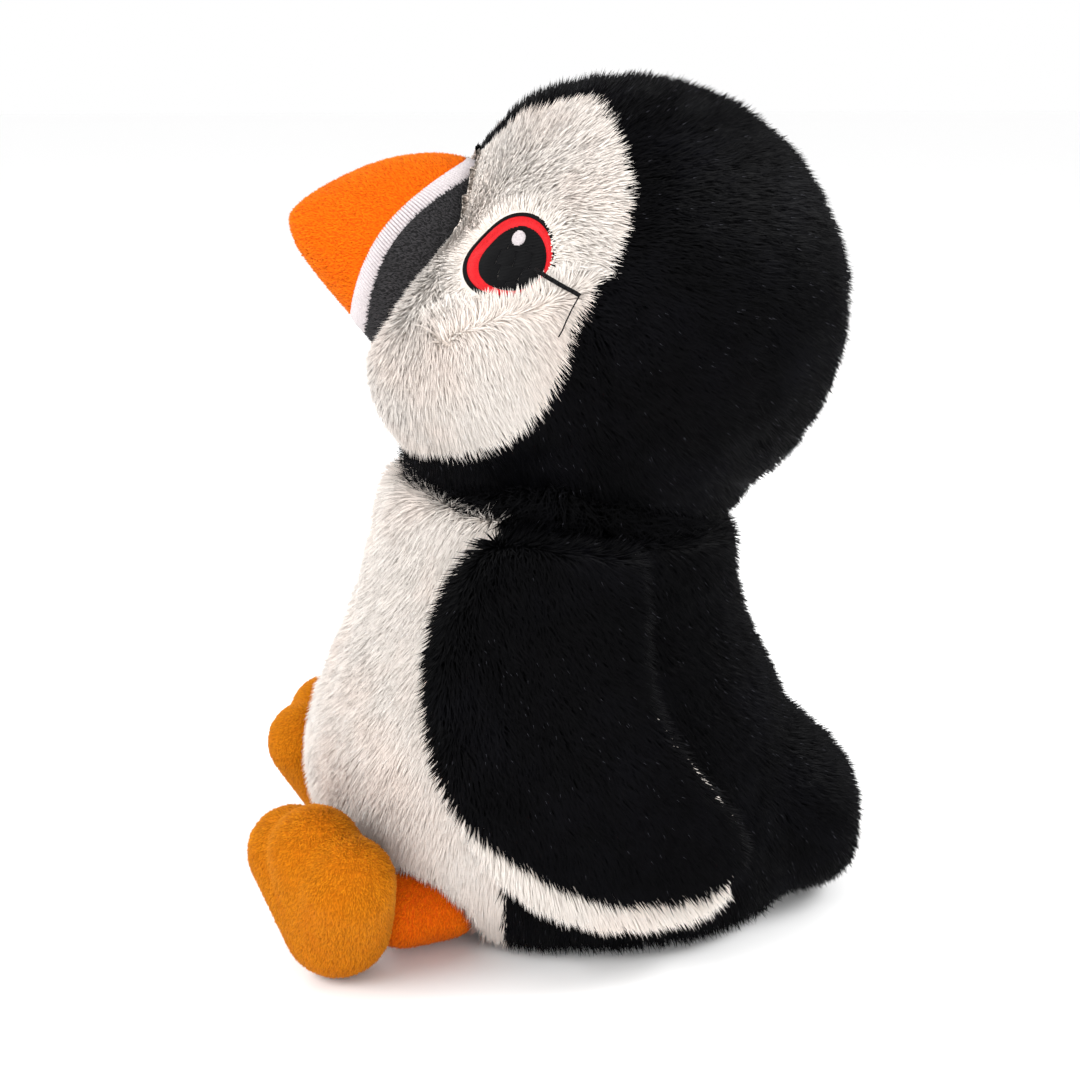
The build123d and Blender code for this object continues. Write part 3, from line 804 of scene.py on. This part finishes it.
beakCloth = {"voxel": 1.6 * mm, "soften": 4, "inset": 0.7 * mm, "comb": (0.0, -1.0, 0.1), "fill": 0.8,
             "seed": 70}
beakPanels = {"beak_cover_left": orangePlush, "beak_cover_right": orangePlush, "beak_grey_band": greyPlush}
beakFill = {"pressure": 3.0, "bending": 2.0, "frames": 16, "cap": 1.6 * mm}
# the cloth is held fully on a seam, and less beside it until it is free at "held" times the width
beakSeam = {"held": 1.6, "width": 1.2 * mm, "rimHeld": 1.5, "rimWidth": 1.5 * mm, "rimFrom": 1.4 * mm}
# the rim's two edges: low point, high point and half width in mm, curving forwards at the sides
rim = {"stitches": 190, "spare": 0.12, "lift": 0.2 * mm, "curve": 31,
       "back": ((-60, 190), (-22, 241), 24), "front": ((-64, 195.5), (-27, 243.5), 22),
       "thread": {"width": 0.98 * mm, "height": 1.2 * mm, "material": "whiteThread"}}


def makeBeak():
    solids = list(beakPanels) + ["beak_white_rim", "beak_stuffing"]
    cloth = clothForm("beak_cloth", solids, beakCloth)
    points = coordinates(cloth.data)
    ridge = np.clip(beakSeam["held"] - np.abs(points[:, 0]) / beakSeam["width"], 0, 1)
    reach = reaches(points, list(beakPanels) + ["beak_white_rim"])
    edge = np.clip(beakSeam["rimHeld"] + reach["beak_white_rim"] / beakSeam["rimWidth"], 0, 1)
    puff(cloth, np.maximum(ridge, edge), beakFill)
    comb = np.tile(beakCloth["comb"], (len(points), 1))
    for number, (panel, pile) in enumerate(beakPanels.items()):
        thing = growPile(panel + "_pile", cloth, reach[panel], comb, np.ones(len(points)), pile,
                         beakCloth["seed"] + number)
        finish(thing, "head", slotOf[pile["material"]], panel)
    covers = np.maximum(reach["beak_cover_left"], reach["beak_cover_right"])
    choice = np.where(reach["beak_white_rim"] > beakSeam["rimFrom"], 2,
                      np.where(reach["beak_grey_band"] > covers, 1, 0))
    paint(cloth, ("orangeKnit", "greyKnit", "whiteKnit"), choice)
    finish(cloth, "head", "fibre_fill", "beak_stuffing")
    rimStitches(cloth)


# satin stitches side by side round the beak, from the grey edge to the orange edge
def rimStitches(cloth):
    tree = treeOf(cloth.data)
    starts, ends, ups = [], [], []
    for number in range(rim["stitches"]):
        turn = 2 * math.pi * number / rim["stitches"]
        pair = []
        for low, high, half in (rim["back"], rim["front"]):
            low, high = np.array((0.0, *low)), np.array((0.0, *high))
            upward = unit(high - low)
            forward = np.array((0, -upward[2], upward[1]))
            side = half * math.sin(turn)
            bulge = rim["curve"] - math.sqrt(rim["curve"] ** 2 - side * side)
            level = (low + high) / 2 + (high - low) / 2 * math.cos(turn)
            hit, normal, _, _ = tree.find_nearest(Vector((level + forward * bulge + (side, 0, 0)) * mm))
            pair.append((np.array(hit) + np.array(normal) * rim["lift"], np.array(normal)))
        (back, upBack), (front, upFront) = pair
        spare = (front - back) * rim["spare"]
        starts.append(back - spare)
        ends.append(front + spare)
        ups.append(unit(upBack + upFront))
    thing = sew("beak_rim_stitches", starts, ends, ups, rim["thread"], 80)
    finish(thing, "head", "white_thread", "beak_white_rim")


makeBeak()
print("beak done")


wingCloth = {"voxel": 2.2 * mm, "soften": 14, "inset": 2.2 * mm, "comb": (0.0, 0.5, -0.9), "fill": 0.5,
             "seed": 90}
# the lining's fur is thinner, and short except at the bottom edge; heights are in mm
wingLining = dict(whiteFur, perSquareMm=2.4)
liningFur = {"shortest": 0.3, "shortFrom": 110, "fullOver": 30, "outward": 0.8}
# the lining turns out as a white edge that starts at a height and is as wide as the shift at the bottom
wingEdge = {"shift": np.array((0, -4, -17)) * mm, "from": 96 * mm, "over": 50 * mm, "width": 4.2 * mm,
            "soft": 10 * mm, "reach": 8 * mm, "facing": 0.1}
# the cover's black fur wraps round the rear edge above the bottom, and round the shoulder; places are in mm
wingWrap = {"rearFrom": 15, "bottom": 32, "seamAt": 97, "seamHalf": 5, "upper": 102, "wrap": 0.8,
            "shoulder": 122, "shoulderWrap": 2}


def makeWing(side):
    outer, lining, filling = (part + side for part in ("wing_outer_panel_", "wing_lining_", "wing_stuffing_"))
    cloth = clothForm("wing_cloth_" + side, [outer, lining, filling], wingCloth)
    points = coordinates(cloth.data)
    normals = normalsOf(cloth.data)
    drop = np.clip((wingEdge["from"] - points[:, 2]) / wingEdge["over"], 0, 1).reshape(-1, 1)
    far = distances(points + wingEdge["shift"] * drop, outer)
    x, y, z = points.T / mm
    offSeam = np.abs(z - wingWrap["seamAt"]) > wingWrap["seamHalf"]
    rearEdge = (y > wingWrap["rearFrom"]) & (z > wingWrap["bottom"]) & offSeam
    facing = normals[:, 0] * sides[side] + wingWrap["wrap"] * (rearEdge | (z > wingWrap["upper"]))
    facing += wingWrap["shoulderWrap"] * (z > wingWrap["shoulder"])
    inside = (wingEdge["width"] - far) / wingEdge["soft"]
    black = np.minimum(facing - wingEdge["facing"], inside) * wingEdge["reach"]
    comb = np.tile(wingCloth["comb"], (len(points), 1))
    seed = wingCloth["seed"]
    blackThing = growPile(outer + "_pile", cloth, black, comb, np.ones(len(points)), blackFur, seed)
    low = np.clip((liningFur["shortFrom"] - z) / liningFur["fullOver"], liningFur["shortest"], 1)
    size = np.where(rearEdge, liningFur["shortest"], low)
    outward = np.where(rearEdge, 0.0, liningFur["outward"])[:, None]
    whiteComb = comb + unit(points - points.mean(axis=0)) * outward
    whiteThing = growPile(lining + "_pile", cloth, -black, whiteComb, size, wingLining, seed + 1)
    finish(blackThing, "wing_" + side, "black_fur", outer)
    finish(whiteThing, "wing_" + side, "white_fur", lining)
    paint(cloth, ("whiteKnit", "blackKnit"), black > 0)
    finish(cloth, "wing_" + side, "fibre_fill", filling)


for side in sides:
    makeWing(side)
print("wings done")


footCloth = {"voxel": 1.8 * mm, "soften": 5, "inset": 0.5 * mm, "comb": (0.2, -0.3, -1.0), "fill": 0.85,
             "seed": 100}
footFill = {"pressure": 4.0, "bending": 2.0, "frames": 14, "cap": 1.4 * mm}
# the seam round the foot lies in the sole's plane: through the heel, in mm, turned outwards and leant back
footSeam = {"splay": math.radians(35), "lean": math.radians(16), "heel": (56.2, -71, 17.3),
            "held": 1.6, "width": 1.3 * mm}
legCloth = {"voxel": 2.0 * mm, "soften": 3, "inset": 0.7 * mm, "comb": (0.0, -0.6, -1.0), "fill": 0.8,
            "seed": 110}
legClear = 1 * mm  # no pile inside the hip


def makeFoot(side):
    sign = sides[side]
    sole, upper, filling = (part + side for part in ("foot_sole_", "foot_upper_", "foot_stuffing_"))
    cloth = clothForm("foot_cloth_" + side, [sole, upper, filling], footCloth)
    points = coordinates(cloth.data)
    splay, lean = footSeam["splay"], footSeam["lean"]
    ahead = np.array((math.sin(splay) * sign, -math.cos(splay), 0))
    facing = ahead * math.cos(lean) - np.array((0, 0, math.sin(lean)))
    heel = np.array(footSeam["heel"]) * (sign, 1, 1) * mm
    seam = np.clip(footSeam["held"] - np.abs((points - heel) @ facing) / footSeam["width"], 0, 1)
    puff(cloth, seam, footFill)
    points = coordinates(cloth.data)
    reach = reaches(points, [sole, upper])
    comb = np.tile(np.array(footCloth["comb"]) * (sign, 1, 1), (len(points), 1))
    for number, panel in enumerate((sole, upper)):
        thing = growPile(panel + "_pile", cloth, reach[panel], comb, np.ones(len(points)), goldPlush,
                         footCloth["seed"] + number)
        finish(thing, "foot_" + side, "golden_plush", panel)
    paint(cloth, ("goldKnit",), np.zeros(len(points)))
    finish(cloth, "foot_" + side, "fibre_fill", filling)


def makeLeg(side):
    cover, filling = "leg_cover_" + side, "leg_stuffing_" + side
    cloth = clothForm("leg_cloth_" + side, [cover, filling], legCloth)
    points = coordinates(cloth.data)
    comb = np.tile(legCloth["comb"], (len(points), 1))
    outside = distances(points, "belly_panel") - legClear
    thing = growPile(cover + "_pile", cloth, outside, comb, np.ones(len(points)), orangePlush,
                     legCloth["seed"])
    finish(thing, "leg_" + side, "orange_plush", cover)
    paint(cloth, ("orangeKnit",), np.zeros(len(points)))
    finish(cloth, "leg_" + side, "fibre_fill", filling)


for side in sides:
    makeFoot(side)
    makeLeg(side)
print("legs and feet done")

bpy.data.objects.remove(lockShape)
bpy.data.objects.remove(stitchShape)


studio = {"floor": "#fdfdfd", "floorHalf": 6.0, "sky": "#ffffff", "skyStrength": 1.0}
camera = {"turn": 86, "tilt": 15, "distance": 0.62, "lens": 64, "aim": (0, -0.005, 0.122)}
lamps = {
    "key": {"at": (0.75, -0.95, 0.95), "size": 0.7, "power": 14},
    "fill": {"at": (1.1, 0.35, 0.45), "size": 0.8, "power": 3},
    "back": {"at": (0.15, 1.0, 0.95), "size": 0.6, "power": 12},
    "far": {"at": (-0.9, -0.6, 0.7), "size": 0.7, "power": 4},
}


def makeStudio():
    floor = bpy.data.meshes.new("floor")
    half = studio["floorHalf"]
    corners = [(-half, -half, 0), (half, -half, 0), (half, half, 0), (-half, half, 0)]
    floor.from_pydata(corners, [], [(0, 1, 2, 3)])
    ground = linked("studio_floor", floor)
    material, _, principled = newMaterial("pale_paper", {"Roughness": 0.9})
    principled.inputs["Base Color"].default_value = toLinear(studio["floor"])
    floor.materials.append(material)
    world = bpy.data.worlds.new("studio")
    bpy.context.scene.world = world
    world.use_nodes = True
    sky = world.node_tree.nodes["Background"]
    sky.inputs["Color"].default_value = toLinear(studio["sky"])
    sky.inputs["Strength"].default_value = studio["skyStrength"]
    aim = Vector(camera["aim"])
    for name, lamp in lamps.items():
        light = bpy.data.lights.new(name, "AREA")
        light.size = lamp["size"]
        light.energy = lamp["power"]
        thing = linked(name, light)
        thing.location = Vector(lamp["at"])
        thing.rotation_euler = (aim - thing.location).to_track_quat("-Z", "Y").to_euler()
    view = bpy.data.cameras.new("camera")
    view.lens = camera["lens"]
    view.sensor_width = 36
    view.clip_start = 0.01
    seen = linked("camera", view)
    turn, tilt = math.radians(camera["turn"]), math.radians(camera["tilt"])
    away = Vector((math.sin(turn) * math.cos(tilt), -math.cos(turn) * math.cos(tilt), math.sin(tilt)))
    seen.location = aim + away * camera["distance"]
    seen.rotation_euler = (-away).to_track_quat("-Z", "Y").to_euler()
    bpy.context.scene.camera = seen
    bpy.context.scene.view_settings.view_transform = "Standard"


makeStudio()
